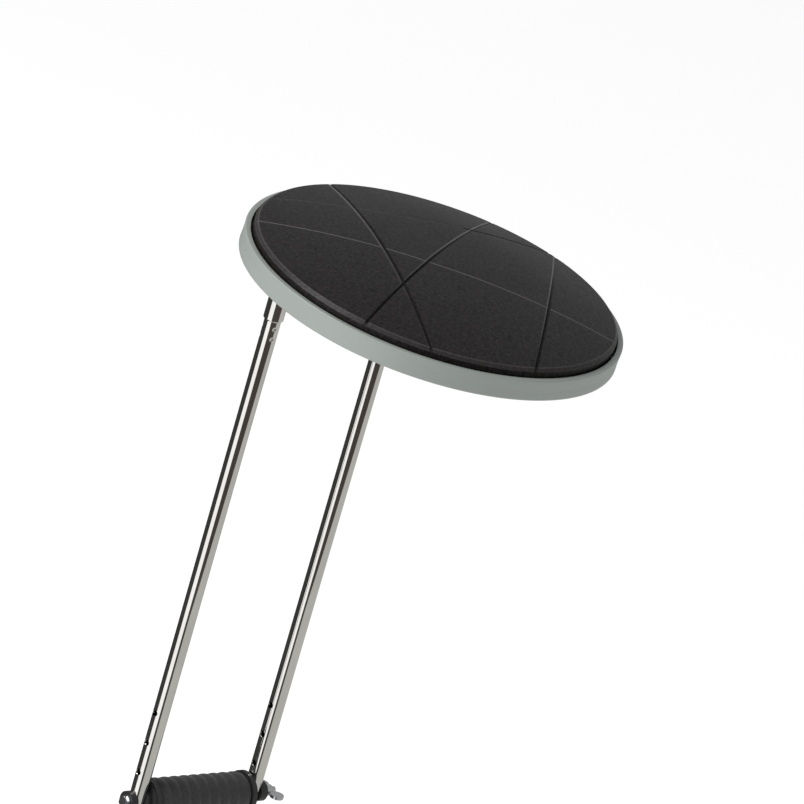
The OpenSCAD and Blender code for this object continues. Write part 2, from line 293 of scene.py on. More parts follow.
def tree_of(name, kind, inputs, outputs):
    """A new node tree, and its input and output nodes. Each input is (name, kind) or (name,
    kind, default), and each output is (name, kind)."""
    tree = bpy.data.node_groups.new(name, kind)
    for label, socket, *default in inputs:
        made = tree.interface.new_socket(label, in_out="INPUT", socket_type="NodeSocket" + socket)
        if default:
            made.default_value = default[0]
    for label, socket in outputs:
        tree.interface.new_socket(label, in_out="OUTPUT", socket_type="NodeSocket" + socket)
    return tree, tree.nodes.new("NodeGroupInput"), tree.nodes.new("NodeGroupOutput")


def feed(tree, node, fed):
    """Feeds a node's inputs, by name or number: each gets a link from a socket, or a value."""
    for key, source in fed.items():
        if isinstance(source, bpy.types.NodeSocket):
            tree.links.new(source, node.inputs[key])
        else:
            node.inputs[key].default_value = source


def add_node(tree, kind, fed=None, **values):
    """A new node with its properties set by name, and its inputs fed."""
    node = tree.nodes.new(kind)
    for key, value in values.items():
        setattr(node, key, value)
    feed(tree, node, fed or {})
    return node


def math_node(tree, operation, a, b=0.0):
    """The result of a math node on a and b, each a socket or a number."""
    return add_node(tree, "ShaderNodeMath", {0: a, 1: b}, operation=operation).outputs[0]


def multiply(tree, a, b):
    """A * b, each a socket or a number."""
    return math_node(tree, "MULTIPLY", a, b)


def added(tree, a, b):
    """A + b, each a socket or a number."""
    return math_node(tree, "ADD", a, b)


def mixed(tree, factor, a, b):
    """A mix of two colours, each a socket or its red, green and blue."""
    a, b = (c if isinstance(c, bpy.types.NodeSocket) else (*c, 1.0) for c in (a, b))
    fed = {"Factor": factor, "A": a, "B": b}
    return add_node(tree, "ShaderNodeMix", fed, data_type="RGBA").outputs["Result"]


def attribute(tree, name):
    """The value of one of the mesh's own attributes, 0 where a mesh doesn't have it."""
    return add_node(tree, "ShaderNodeAttribute", attribute_name=name).outputs["Fac"]


def remapped(tree, value, low, high, to_low, to_high):
    """A value moved from one range to another, and kept inside it."""
    fed = dict(enumerate((value, low, high, to_low, to_high)))
    return add_node(tree, "ShaderNodeMapRange", fed).outputs[0]


def noise(tree, vector, scale, detail=3.0, roughness=0.5):
    """The value of a noise texture, whose scale is a socket or a number."""
    fed = {"Vector": vector, "Scale": scale, "Detail": detail, "Roughness": roughness}
    return add_node(tree, "ShaderNodeTexNoise", fed).outputs["Fac"]


def grain_group():
    """Pebbled moulded grain: a height for the bump, and slow mottling for tone and gloss."""
    found = bpy.data.node_groups.get("Moulded grain")
    if found:
        return found
    group, start, end = tree_of(
        "Moulded grain", "ShaderNodeTree",
        [("Vector", "Vector"), ("Grains per metre", "Float", 1500.0),
         ("Patches per metre", "Float", 18.0)],
        [("Height", "Float"), ("Patches", "Float")])
    given = start.outputs
    vector, grains = given["Vector"], given["Grains per metre"]
    cells = add_node(group, "ShaderNodeTexVoronoi", {"Vector": vector, "Scale": grains},
                     feature="SMOOTH_F1")
    fine = noise(group, vector, multiply(group, grains, 0.45), 4.0, 0.6)
    height = added(group, multiply(group, cells.outputs["Distance"], 0.6),
                   multiply(group, fine, 0.5))
    patches = noise(group, vector, given["Patches per metre"], 4.0, 0.55)
    feed(group, end, {"Height": height, "Patches": patches})
    return group


def handled_group():
    """Marks of use: faint smears, and short hairline scratches that run round or along."""
    found = bpy.data.node_groups.get("Handling marks")
    if found:
        return found
    group, start, end = tree_of(
        "Handling marks", "ShaderNodeTree",
        [("Vector", "Vector"), ("Smears per metre", "Float", 25.0),
         ("Scratches per metre", "Float", 90.0)],
        [("Smears", "Float"), ("Scratches", "Float")])
    given = start.outputs
    smears = noise(group, given["Vector"], given["Smears per metre"], 5.0, 0.6)
    stretch = add_node(group, "ShaderNodeMapping", {
        "Vector": given["Vector"], "Scale": (12.0, 12.0, 1.0), "Rotation": (0.35, 0.2, 0.0)})
    threads = noise(group, stretch.outputs["Vector"], given["Scratches per metre"], 2.0)
    feed(group, end, {"Smears": remapped(group, smears, 0.45, 0.75, 0.0, 1.0),
                      "Scratches": remapped(group, threads, 0.70, 0.78, 0.0, 1.0)})
    return group


def new_material(name):
    """A material with its tree, its shader and the object's own coordinates."""
    material = bpy.data.materials.new(name)
    material.use_nodes = True
    tree = material.node_tree
    shader = tree.nodes["Principled BSDF"]
    place = tree.nodes.new("ShaderNodeTexCoord").outputs["Object"]
    return material, tree, shader, place


def use_group(tree, group, vector, **values):
    """A group node fed with a vector, with its other inputs set by name."""
    fed = {key.replace("_", " "): value for key, value in values.items()}
    return add_node(tree, "ShaderNodeGroup", {"Vector": vector, **fed}, node_tree=group)


def raise_bump(tree, shader, height, distance):
    """Feeds a height into the shader's normal, and sets how far it stands out."""
    fed = {"Height": height, "Strength": 1.0, "Distance": distance}
    bump = add_node(tree, "ShaderNodeBump", fed)
    feed(tree, shader, {"Normal": bump.outputs["Normal"]})


def shades(base, spread):
    """A darker and a lighter shade of a colour."""
    return [c * (1 - spread) for c in base], [min(1.0, c * (1 + spread)) for c in base]


def moulded(name, base, grains, depth, rough, specular=0.5, spread=0.12):
    """A moulded plastic, rubber or foam skin with its own grain."""
    material, tree, shader, place = new_material(name)
    grain = use_group(tree, grain_group(), place, Grains_per_metre=grains)
    patches = grain.outputs["Patches"]
    feed(tree, shader, {
        "Base Color": mixed(tree, patches, *shades(base, spread)),
        "Roughness": remapped(tree, patches, 0.3, 0.7, rough - 0.05, rough + 0.05),
        "Specular IOR Level": specular,
    })
    raise_bump(tree, shader, grain.outputs["Height"], depth)
    return material


# Colours of painted shade: down in a groove, and in the seam under a post
PAINTED_GROOVE_SHADE = (0.003, 0.003, 0.003)
SEAM_SHADE = (0.12, 0.11, 0.105)


def pad_skin(name, base, painted_highlight):
    """The pad's moulded skin: pebbled grain, and painted light from the mesh's own "tone", which is
    above 0 where a highlight is painted on the fine lines, the crown's edge, the bevel and the lit
    groove walls, and under 0 where shade is painted down in a groove."""
    material, tree, shader, place = new_material(name)
    grain = use_group(tree, grain_group(), place, Grains_per_metre=1250.0, Patches_per_metre=9.0)
    specks = noise(tree, place, 420.0, 2.0, 0.7)
    tone = added(tree, multiply(tree, grain.outputs["Patches"], 0.3),
                 multiply(tree, remapped(tree, specks, 0.3, 0.7, 0.0, 1.0), 0.7))
    # The painted light that build_pad stores on the mesh
    groove = attribute(tree, "tone")
    lit = remapped(tree, groove, 0.0, 1.0, 0.0, 1.0)
    shaded = remapped(tree, groove, -1.0, 0.0, 1.0, 0.0)
    # A painted highlight mixed in where the tone is above 0, then painted shade where it is under
    # 0, which also dulls the gloss
    skin = mixed(tree, lit, mixed(tree, tone, *shades(base, 0.75)), painted_highlight)
    gloss = remapped(tree, grain.outputs["Patches"], 0.3, 0.7, 0.42, 0.50)
    feed(tree, shader, {
        "Base Color": mixed(tree, shaded, skin, PAINTED_GROOVE_SHADE),
        "Roughness": added(tree, multiply(tree, shaded, 0.4), gloss),
        "Specular IOR Level": multiply(tree, remapped(tree, specks, 0.25, 0.75, 0.13, 0.34),
                                       remapped(tree, shaded, 0.0, 1.0, 1.0, 0.2)),
    })
    raise_bump(tree, shader, grain.outputs["Height"], 0.14 * MM)
    return material


def plated(name, base, rough, marked, brushed=0.0):
    """A plated metal, with smears and hairlines that show in its gloss, and painted shade in the
    seam under a post, where the mesh's own "seam" is 1."""
    material, tree, shader, place = new_material(name)
    marks = use_group(tree, handled_group(), place)
    metal = mixed(tree, marks.outputs["Smears"], *shades(base, 0.04))
    worn = added(tree, multiply(tree, marks.outputs["Smears"], marked),
                 multiply(tree, marks.outputs["Scratches"], marked * 2))
    feed(tree, shader, {
        "Metallic": 1.0,
        # Painted shade in the seam under a post
        "Base Color": mixed(tree, attribute(tree, "seam"), metal, SEAM_SHADE),
        "Roughness": added(tree, worn, rough),
    })
    if brushed:
        raise_bump(tree, shader, marks.outputs["Scratches"], brushed)
    return material


def plywood(name):
    """Birch plywood: plies on the edge, and long figure on the face."""
    material, tree, shader, place = new_material(name)
    tilt = add_node(tree, "ShaderNodeMapping", {
        "Vector": place, "Location": REST_MIDDLE, "Rotation": (0.0, REST_TILT, 0.0),
    }, vector_type="TEXTURE").outputs["Vector"]
    plies = add_node(tree, "ShaderNodeTexWave", {
        "Vector": tilt, "Scale": 250.0, "Distortion": 0.3,
    }, bands_direction="Z")
    stretch = add_node(tree, "ShaderNodeMapping", {"Vector": tilt, "Scale": (1.0, 9.0, 1.0)})
    figure = noise(tree, stretch.outputs["Vector"], 35.0, 6.0, 0.6)
    tone = added(tree, multiply(tree, plies.outputs["Fac"], 0.35), multiply(tree, figure, 0.65))
    feed(tree, shader, {
        "Base Color": mixed(tree, tone, (0.36, 0.22, 0.11), (0.66, 0.48, 0.29)),
        "Roughness": remapped(tree, figure, 0.3, 0.7, 0.55, 0.75),
    })
    raise_bump(tree, shader, figure, 0.2 * MM)
    return material


def foam(name, base):
    """Closed-cell foam: open pits in a matt skin."""
    material, tree, shader, place = new_material(name)
    cells = add_node(tree, "ShaderNodeTexVoronoi", {"Vector": place, "Scale": 900.0},
                     feature="F1")
    grain = use_group(tree, grain_group(), place, Grains_per_metre=2600.0, Patches_per_metre=30.0)
    pits = remapped(tree, cells.outputs["Distance"], 0.0, 0.45, 0.0, 1.0)
    feed(tree, shader, {
        "Base Color": mixed(tree, pits, *shades(base, 0.4)),
        "Roughness": remapped(tree, pits, 0.0, 1.0, 0.95, 0.78),
        "Specular IOR Level": 0.25,
        "Sheen Weight": 0.15,
    })
    height = added(tree, pits, multiply(tree, grain.outputs["Height"], 0.4))
    raise_bump(tree, shader, height, 0.25 * MM)
    return material


def material_named(kind):
    """One of the crutch's materials, made when it is first asked for."""
    name = "crutch_" + kind
    found = bpy.data.materials.get(name)
    if found:
        return found
    scene = bpy.context.scene
    pad, tray, tube = scene.crutch_pad, scene.crutch_tray, scene.crutch_tube
    makers = {
        "pad_skin": lambda: pad_skin(name, pad.skin, pad.painted_highlight),
        "tray_plastic": lambda: moulded(name, tray.plastic, 3200.0, 0.03 * MM, 0.42, 0.45, 0.02),
        "chrome": lambda: plated(name, tube.chrome, 0.035, 0.05),
        "zinc": lambda: plated(name, tube.zinc, 0.24, 0.10, 0.02 * MM),
        "spring_steel": lambda: plated(name, (0.33, 0.33, 0.34), 0.30, 0.12, 0.02 * MM),
        "powder_coat": lambda: moulded(name, tube.coat, 900.0, 0.08 * MM, 0.38, 0.5),
        "nylon": lambda: moulded(name, (0.020, 0.020, 0.021), 3000.0, 0.03 * MM, 0.45, 0.5),
        "tip_rubber": lambda: moulded(name, scene.crutch_tip.rubber, 2200.0, 0.06 * MM, 0.72,
                                      0.3, 0.2),
        "grip_foam": lambda: foam(name, scene.crutch_grip.foam),
        "plywood": lambda: plywood(name),
    }
    return makers[kind]()


# ---------------------------------------------------------------- repeated pieces


def finish_tree(tree, start, end, geometry):
    """Ends a tree in Realize Instances and Set Material."""
    real = add_node(tree, "GeometryNodeRealizeInstances", {"Geometry": geometry})
    dress = add_node(tree, "GeometryNodeSetMaterial", {
        "Geometry": real.outputs["Geometry"], "Material": start.outputs["Material"]})
    feed(tree, end, {"Geometry": dress.outputs["Geometry"]})
    return tree


def copies_tree():
    """One shape set on every point."""
    found = bpy.data.node_groups.get("Copies on points")
    if found:
        return found
    tree, start, end = tree_of(
        "Copies on points", "GeometryNodeTree",
        [("Geometry", "Geometry"), ("Shape", "Object"), ("Material", "Material")],
        [("Geometry", "Geometry")])
    shape = add_node(tree, "GeometryNodeObjectInfo", {"Object": start.outputs["Shape"]})
    placed = add_node(tree, "GeometryNodeInstanceOnPoints", {
        "Points": start.outputs["Geometry"], "Instance": shape.outputs["Geometry"]})
    return finish_tree(tree, start, end, placed.outputs["Instances"])


def spokes_tree():
    """Straight ribs set out like spokes between two radii."""
    found = bpy.data.node_groups.get("Spokes")
    if found:
        return found
    tree, start, end = tree_of(
        "Spokes", "GeometryNodeTree",
        [("Geometry", "Geometry"), ("Count", "Int"), ("Inner radius", "Float"),
         ("Outer radius", "Float"), ("Thickness", "Float"), ("Height", "Float"),
         ("Material", "Material")],
        [("Geometry", "Geometry")])
    given = start.outputs
    run = math_node(tree, "SUBTRACT", given["Outer radius"], given["Inner radius"])
    reach = added(tree, given["Inner radius"], multiply(tree, run, 0.5))
    step = math_node(tree, "DIVIDE", 2 * math.pi, given["Count"])
    index = tree.nodes.new("GeometryNodeInputIndex").outputs[0]
    turn = multiply(tree, added(tree, index, 0.5), step)

    line = add_node(tree, "GeometryNodeMeshLine", {"Count": given["Count"]})
    where = add_node(tree, "ShaderNodeCombineXYZ", {
        "X": multiply(tree, reach, math_node(tree, "COSINE", turn)),
        "Y": multiply(tree, reach, math_node(tree, "SINE", turn))})
    moved = add_node(tree, "GeometryNodeSetPosition", {
        "Geometry": line.outputs["Mesh"], "Position": where.outputs[0]})

    box_size = add_node(tree, "ShaderNodeCombineXYZ", {
        "X": run, "Y": given["Thickness"], "Z": given["Height"]})
    rib = add_node(tree, "GeometryNodeMeshCube", {"Size": box_size.outputs[0]})
    facing = add_node(tree, "ShaderNodeCombineXYZ", {"Z": turn})
    placed = add_node(tree, "GeometryNodeInstanceOnPoints", {
        "Points": moved.outputs["Geometry"], "Instance": rib.outputs["Mesh"],
        "Rotation": facing.outputs[0]})
    return finish_tree(tree, start, end, placed.outputs["Instances"])


def grown(tree, name, base, place=None, sharp=35, **values):
    """The plain mesh that a node tree grows from a base mesh, with its inputs set by name."""
    holder = new_object(name, base)
    modifier = holder.modifiers.new(name, "NODES")
    modifier.node_group = tree
    sockets = {s.name: s.identifier for s in tree.interface.items_tree if s.in_out == "INPUT"}
    for key, value in values.items():
        modifier[sockets[key.replace("_", " ")]] = value
    bpy.context.view_layer.update()
    graph = bpy.context.evaluated_depsgraph_get()
    mesh = bpy.data.meshes.new_from_object(holder.evaluated_get(graph), depsgraph=graph)
    bpy.data.objects.remove(holder)
    mesh.name = name
    return smoothed(mesh, place, sharp)


def copies(name, shape, points, material, place=None):
    """Copies of a bmesh shape on points, as one mesh."""
    tool = new_object(name + "_shape", to_mesh(shape, name + "_shape"))
    mesh = grown(copies_tree(), name, loose_mesh(name, points), place, Shape=tool,
                 Material=material)
    bpy.data.objects.remove(tool)
    return mesh


# ---------------------------------------------------------------- the pad

# Grooves in the pad, seen from above in millimetres of the rest's own axes: the points they run
# through, their width on the left and on the right, their depth, the strength of the painted
# highlight on their left wall, or on a whole fine line, which is painted shade where it is under 0,
# and the share of their depth that is left at the back of the pad. Each runs past the pad's edge at
# both ends.
WIDE_GROOVES = (
    (((-156.9, 6.1), (126.1, -93.5)), 3.4, 1.3, 1.2, 0.9, 0.6),
    (((-84.9, 123.8), (75.1, -130.0)), 2.0, 2.0, 1.15, 1.0, 0.35),
    (((-55.7, 161.8), (166.3, -40.2)), 1.7, 2.2, 1.15, 1.2, 0.25),
)
FINE_LINES = (
    (((-96.0, -129.0), (13.7, -12.4), (115.0, 108.0)), 0.9, 0.9, 0.25, 1.0, 1.0),
    (((-124.0, -93.0), (-66.0, 13.0), (-51.0, 60.0)), 0.9, 0.9, 0.25, 0.5, 1.0),
    (((-51.0, 60.0), (-24.0, 156.0)), 0.9, 0.9, 0.6, -0.8, 1.0),
)
# Where the skin is cut beside a groove, as shares of its width on that side
CUTS = (-1.35, -1.0, -0.75, -0.5, -0.25, 0.0, 0.25, 0.5, 0.75, 1.0, 1.35)
BACK_TO_FRONT = Vector((0.722, -0.692, 0.0))
# The skin sags a little beside a groove: the share of its depth, and how many widths it reaches
SAG, SAG_REACH = 0.08, 2.4
# Painted highlights: the tone of the light line round the crown's edge, half its width, and the
# tone of the bevel
PAINTED_EDGE_HIGHLIGHT, EDGE_HALF, PAINTED_BEVEL_HIGHLIGHT = 0.36, 0.4 * MM, 0.14


def smooth_step(t):
    """Eases t from 0 to 1, and holds it there outside."""
    t = max(0.0, min(1.0, t))
    return t * t * (3 - 2 * t)


def crown_at(radius, pad):
    """Height of the crown at a radius, above the rim."""
    ball = (pad.edge_radius ** 2 + pad.crown_height ** 2) / (2 * pad.crown_height)
    return pad.edge_height + pad.crown_height - ball + math.sqrt(ball ** 2 - radius ** 2)


def groove_runs(pad):
    """Each straight run of each groove: (start, along, run, across, left, right, depth, light,
    back, fine), where across points to its left."""
    found = []
    for grooves, wide, deep, fine in ((WIDE_GROOVES, pad.groove_width, pad.groove_depth, False),
                                      (FINE_LINES, pad.line_width, pad.line_depth, True)):
        for points, left, right, depth, light, back in grooves:
            for start, end in zip(points, points[1:]):
                start = Vector((*start, 0.0)) * MM
                run = Vector((*end, 0.0)) * MM - start
                along = run.normalized()
                across = Vector((along.y, -along.x, 0.0))
                if across.x > 0 and not fine:
                    across.negate()
                found.append((start, along, run.length, across, left * MM * wide,
                              right * MM * wide, depth * MM * deep, light, back, fine))
    return found


def pressed(point, runs):
    """How far the skin is pressed down at a point, and its painted light: above 0 for a painted
    highlight on a lit groove wall or fine line, and under 0 for painted shade down in a groove."""
    drop, eased, tone = 0.0, 0.0, 0.0
    flat = Vector((point.x, point.y, 0.0))
    front = flat.dot(BACK_TO_FRONT) / (137 * MM)
    for start, along, run, across, left, right, depth, light, back, fine in runs:
        depth *= back + (1 - back) * smooth_step(0.6 + front)
        offset = flat - start
        if not 0 <= offset.dot(along) <= run:
            continue
        away = offset.dot(across)
        share = abs(away) / (left if away > 0 else right)
        eased += SAG * depth * math.exp(-((share / SAG_REACH) ** 2))
        if share >= 1:
            continue
        here = depth * (1 - smooth_step(share))
        if away > 0 and not fine:
            here = depth * (0.8 * (1 - smooth_step(share / 0.4)) + 0.2 * (1 - share))
        if here > drop:
            drop = here
            if fine:
                # A painted highlight along a fine line, which is painted shade where its light is
                # under 0
                tone = light * (1 - share) ** 0.5
            elif away > 0 and share > 0.3:
                # A painted highlight on the lit left wall of a wide groove, fading out towards the
                # front
                tone = light * max(0.0, 0.65 - front) * (1 - abs(2.2 * share - 1.3) ** 3)
            else:
                # Painted shade down in a groove, darker where the groove is deeper
                tone = -0.6 * (1 - share ** 2) * min(1.0, depth / (1.1 * MM))
    return drop + eased, tone


def build_pad(pad):
    """The pad's closed mesh: a crowned top with its grooves, a bevel and a side wall."""
    rings, segments = 46, 288
    crown = [(pad.edge_radius * i / rings, crown_at(pad.edge_radius * i / rings, pad))
             for i in range(rings)]
    for inset in (0.9 * MM, 0.55 * MM):  # close rings keep the painted highlight line thin
        crown.append((pad.edge_radius - inset, crown_at(pad.edge_radius - inset, pad)))
    edge = Vector((pad.edge_radius, crown_at(pad.edge_radius, pad)))
    wall_top = Vector((pad.wall_radius, pad.edge_height - pad.bevel_height))
    slope = (wall_top - edge).normalized()
    board_radius = size("pad_board").y / 2 + 0.4 * MM
    board_top = -4.1 * MM
    foot = -8.9 * MM
    side = filleted([
        (crown[-1][0], crown[-1][1], 0),
        (*edge, 0.3 * MM),
        (*(edge + slope * 0.5 * MM), 0),
        (*(edge + slope * 0.8 * MM), 0),
        (*wall_top, 0.8 * MM),
        (pad.wall_radius, foot, 0.8 * MM),
        (board_radius, foot, 0.3 * MM),
        (board_radius, board_top, 0),
    ], 5)
    made = lathe(crown + side[1:] + [(0, board_top)], segments)
    runs = groove_runs(pad)
    for start, along, run, across, left, right, depth, light, back, fine in runs:
        for cut in CUTS[1:-1] if fine else CUTS:
            skin = [f for f in made.faces if f.calc_center_median().z > 0]
            around = {e for f in skin for e in f.edges} | {v for f in skin for v in f.verts}
            bmesh.ops.bisect_plane(made, geom=skin + list(around), dist=1e-6, plane_no=across,
                                   plane_co=start + across * cut * (left if cut > 0 else right))
    reach = pad.wall_radius - pad.edge_radius
    # Each vertex's painted light: above 0 a painted highlight, under 0 painted shade
    painted_light_layer = made.verts.layers.float.new("tone")
    for vert in made.verts:
        if vert.co.z > pad.edge_height - pad.bevel_height:
            fade = 1 - smooth_step((vert.co.xy.length - pad.edge_radius + 0.6 * MM) / reach)
            drop, tone = pressed(vert.co, runs)
            past = vert.co.xy.length - edge.x
            # A painted highlight on the line round the crown's edge and on the bevel; painted
            # groove shade under -0.2 wins over it
            painted_highlight = PAINTED_EDGE_HIGHLIGHT if abs(past) < EDGE_HALF else PAINTED_BEVEL_HIGHLIGHT if past > 0 else 0.0
            vert.co.z -= fade * drop
            vert[painted_light_layer] = fade * tone if tone < -0.2 else max(fade * tone, painted_highlight)
    bmesh.ops.recalc_face_normals(made, faces=made.faces)
    return made


class CRUTCH_OT_pad(bpy.types.Operator):
    """Moulds the crowned pad with its grooves, and its plywood board with four tee nuts"""
    bl_idname = "crutch.pad"
    bl_label = "Pad"

    def execute(self, context):
        mesh = to_mesh(build_pad(context.scene.crutch_pad), "pad", REST, 50)
        pad = add_piece("pad", mesh, material_named("pad_skin"), "frame", "pad", "pad_cushion")
        paint(material_named("plywood"), "pad_board")
        paint(material_named("zinc"), "board_nuts")
        return {"FINISHED"}


# ---------------------------------------------------------------- the tray

# Places of the four screws in the rest's axes, and the height of the bracket plate's underside
SCREW_X = (-55.0 * MM, 45.0 * MM)
SCREW_Y = 40.0 * MM
PLATE_UNDER = -19.4 * MM


def screw_points(height):
    """The four places, in the rest's axes, of the screws that hold the tray and pad."""
    return [Vector((x, y, height)) for x in SCREW_X for y in (-SCREW_Y, SCREW_Y)]


class CRUTCH_OT_tray(bpy.types.Operator):
    """Turns the tray's shell, and sets its ribs, hub and bosses under it"""
    bl_idname = "crutch.tray"
    bl_label = "Tray"

    def execute(self, context):
        tray = context.scene.crutch_tray
        plastic = material_named("tray_plastic")
        inner = tray.radius - tray.lip
        skirt = tray.radius - tray.wall
        under = -tray.floor - tray.wall
        shell = filleted([
            (0, -tray.floor, 0),
            (inner, -tray.floor, 0.6 * MM),
            (inner, 0, 0.6 * MM),
            (tray.radius, 0, 1.1 * MM),
            (tray.radius - tray.hollow, -tray.height * 0.5, 14 * MM),
            (tray.radius, -tray.height, 1.6 * MM),
            (skirt, -tray.height, 0.5 * MM),
            (skirt, under, 0.8 * MM),
            (0, under, 0),
        ], 6)
        mesh = to_mesh(lathe(shell, 288), "tray", REST, 40)
        add_piece("tray", mesh, plastic, "frame", "tray_plastic", "rest_tray")

        lap = 0.5 * MM
        rib_height = tray.height + under - 0.4 * MM
        hub = 22.0 * MM
        ribs = grown(
            spokes_tree(), "tray_ribs", loose_mesh("tray_ribs", [(0, 0, 0)]),
            REST @ Matrix.Translation((0, 0, under - rib_height / 2 + lap / 2)), 20,
            Count=tray.ribs, Inner_radius=hub - lap, Outer_radius=skirt + lap,
            Thickness=2.4 * MM, Height=rib_height + lap, Material=plastic)
        add_piece("tray_ribs", ribs, None, "frame", "tray_plastic")

        low = under - rib_height
        ring = filleted([
            (hub - tray.wall, under + lap, 0), (hub - tray.wall, low, 0.4 * MM),
            (hub, low, 0.4 * MM), (hub, under + lap, 0),
        ])
        mesh = to_mesh(lathe(ring, 96, closed=True), "tray_hub", REST)
        add_piece("tray_hub", mesh, plastic, "frame", "tray_plastic")

        bore = 2.8 * MM
        boss = filleted([
            (bore, under + lap, 0), (bore, -tray.height, 0.3 * MM),
            (8 * MM, -tray.height, 0.5 * MM), (8 * MM, under + lap, 0),
        ])
        shape = lathe(boss, 48, closed=True)
        mesh = copies("tray_bosses", shape, screw_points(0), plastic, REST)
        add_piece("tray_bosses", mesh, None, "frame", "tray_plastic")
        return {"FINISHED"}


class CRUTCH_OT_bracket(bpy.types.Operator):
    """Coats the bracket plate, and sets its screws and washers"""
    bl_idname = "crutch.bracket"
    bl_label = "Bracket and screws"

    def execute(self, context):
        zinc = material_named("zinc")
        paint(material_named("powder_coat"), "head_bracket")
        paint(zinc, "post_screws")
        washer = filleted([
            (2.7 * MM, 0, 0), (2.7 * MM, -1 * MM, 0.2 * MM), (6 * MM, -1 * MM, 0.3 * MM),
            (6 * MM, 0, 0.1 * MM), (2.7 * MM, 0, 0),
        ], 2)
        shape = lathe(washer[:-1], 48, closed=True)
        mesh = copies("rest_washer_set", shape, screw_points(PLATE_UNDER), zinc, REST)
        add_piece("rest_washer_set", mesh, None, "frame", "steel_zinc", "rest_washers")

        head = filleted([
            (0, -2.3 * MM, 0), (1.6 * MM, -2.3 * MM, 0), (1.6 * MM, -4.2 * MM, 0.15 * MM),
            (3.2 * MM, -4.2 * MM, 0.8 * MM), (4.7 * MM, -2.9 * MM, 0.9 * MM),
            (4.7 * MM, -1 * MM, 0.2 * MM), (2.5 * MM, -1 * MM, 0), (2.5 * MM, 14 * MM, 0.4 * MM),
            (0, 14 * MM, 0),
        ], 3)
        shape = lathe(head, 48, hexed=(0, 1, 2))
        mesh = copies("rest_screw_set", shape, screw_points(PLATE_UNDER), zinc, REST)
        add_piece("rest_screw_set", mesh, None, "frame", "steel_zinc", "rest_screws")
        return {"FINISHED"}


# ---------------------------------------------------------------- tubes and leg

# Half the distance between the uprights, above and below their bends, and the heights and the
# radius of those bends
UPRIGHT_Y = 56.0 * MM
FORK_Y = 21.0 * MM
BENDS_Z = (590.0 * MM, 462.0 * MM)
BEND_RADIUS = 60.0 * MM
BEND_STEPS = 32
TUBE_WALL = 1.2 * MM
# Height of the band of painted shade in the seam round a post's lower end
SEAM_HEIGHT = 0.7 * MM
# How far a vertex may be off a tube's radius and still count as part of its round wall
WALL_SLACK = 0.08 * MM


def centre_line(points, radius):
    """The points of a tube's centre line, with its corners bent to a radius."""
    line = [points[0]]
    for back, here, ahead in zip(points, points[1:], points[2:]):
        inward, outward = (here - back).normalized(), (ahead - here).normalized()
        turn = inward.angle(outward)
        start = here - inward * radius * math.tan(turn / 2)
        hub = here + (outward - inward).normalized() * radius / math.cos(turn / 2)
        spin = inward.cross(outward).normalized()
        for step in range(BEND_STEPS + 1):
            swing = Matrix.Rotation(turn * step / BEND_STEPS, 3, spin)
            line.append(hub + swing @ (start - hub))
    line.append(points[-1])
    return line


def straight_line(node, y=0.0):
    """The centre line of a straight upright tube."""
    return [Vector((0, y, corner.z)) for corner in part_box(node)]


def round_normals(mesh, line, radii):
    """Gives the round walls of a tube the normals of its true surface."""
    def outward(point):
        """The shortest way from the centre line to a point."""
        best = None
        for start, end in zip(line, line[1:]):
            run = end - start
            share = max(0.0, min(1.0, (point - start).dot(run) / run.length_squared))
            away = point - (start + run * share)
            if best is None or away.length < best.length:
                best = away
        return best

    aways = [outward(v.co) for v in mesh.vertices]
    normals = [n.vector.copy() for n in mesh.corner_normals]
    for face in mesh.polygons:
        if abs(aways[face.vertices[0]].normalized().dot(face.normal)) < 0.8:
            continue
        for radius in radii:
            if all(abs(aways[v].length - radius) < WALL_SLACK for v in face.vertices):
                for loop, vert in zip(face.loop_indices, face.vertices):
                    side = 1 if aways[vert].dot(face.normal) > 0 else -1
                    normals[loop] = aways[vert].normalized() * side
    mesh.normals_split_custom_set(normals)


def plated_tube(node, body, line, radii, seam=0.0):
    """A merged copy of a CAD tube, with smooth walls, in its place. The shader paints shade in the
    seam under a post, on a band of this height round the tube's lower end."""
    made = bmesh.new()
    made.from_mesh(frame["nodes"][node].data)
    bmesh.ops.remove_doubles(made, verts=made.verts, dist=1e-6)
    seams = made.verts.layers.float.new("seam")
    if seam:
        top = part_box(node)[0].z + seam
        for cut in (top, top + 0.2 * MM):
            around = list(made.verts) + list(made.edges) + list(made.faces)
            bmesh.ops.bisect_plane(made, geom=around, dist=1e-6, plane_no=(0, 0, 1),
                                   plane_co=(0, 0, cut))
        # The band where the shader paints shade in the seam
        for vert in made.verts:
            vert[seams] = 1.0 if vert.co.z < top + 0.05 * MM else 0.0
    mesh = to_mesh(made, node + "_plated", None, 30)
    round_normals(mesh, line, radii)
    add_piece(node + "_plated", mesh, material_named("chrome"), body, "tube_chrome", node)


class CRUTCH_OT_tubes(bpy.types.Operator):
    """Plates the uprights, posts and leg tubes"""
    bl_idname = "crutch.tubes"
    bl_label = "Tubes"

    def execute(self, context):
        slim = size("left_upright").x / 2
        for side, y in (("left", -1), ("right", 1)):
            low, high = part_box(side + "_upright")
            corners = [Vector((0, y * reach, height)) for reach, height in (
                (UPRIGHT_Y, high.z), (UPRIGHT_Y, BENDS_Z[0]), (FORK_Y, BENDS_Z[1]),
                (FORK_Y, low.z))]
            plated_tube(side + "_upright", "frame", centre_line(corners, BEND_RADIUS),
                        (slim, slim - TUBE_WALL))
            post = side + "_post"
            plated_tube(post, "frame", straight_line(post, y * UPRIGHT_Y), (size(post).x / 2,),
                        SEAM_HEIGHT)
        for node, body in (("leg_outer_tube", "frame"), ("leg_inner_tube", "leg")):
            radius = size(node).x / 2
            plated_tube(node, body, straight_line(node), (radius, radius - TUBE_WALL))
        return {"FINISHED"}


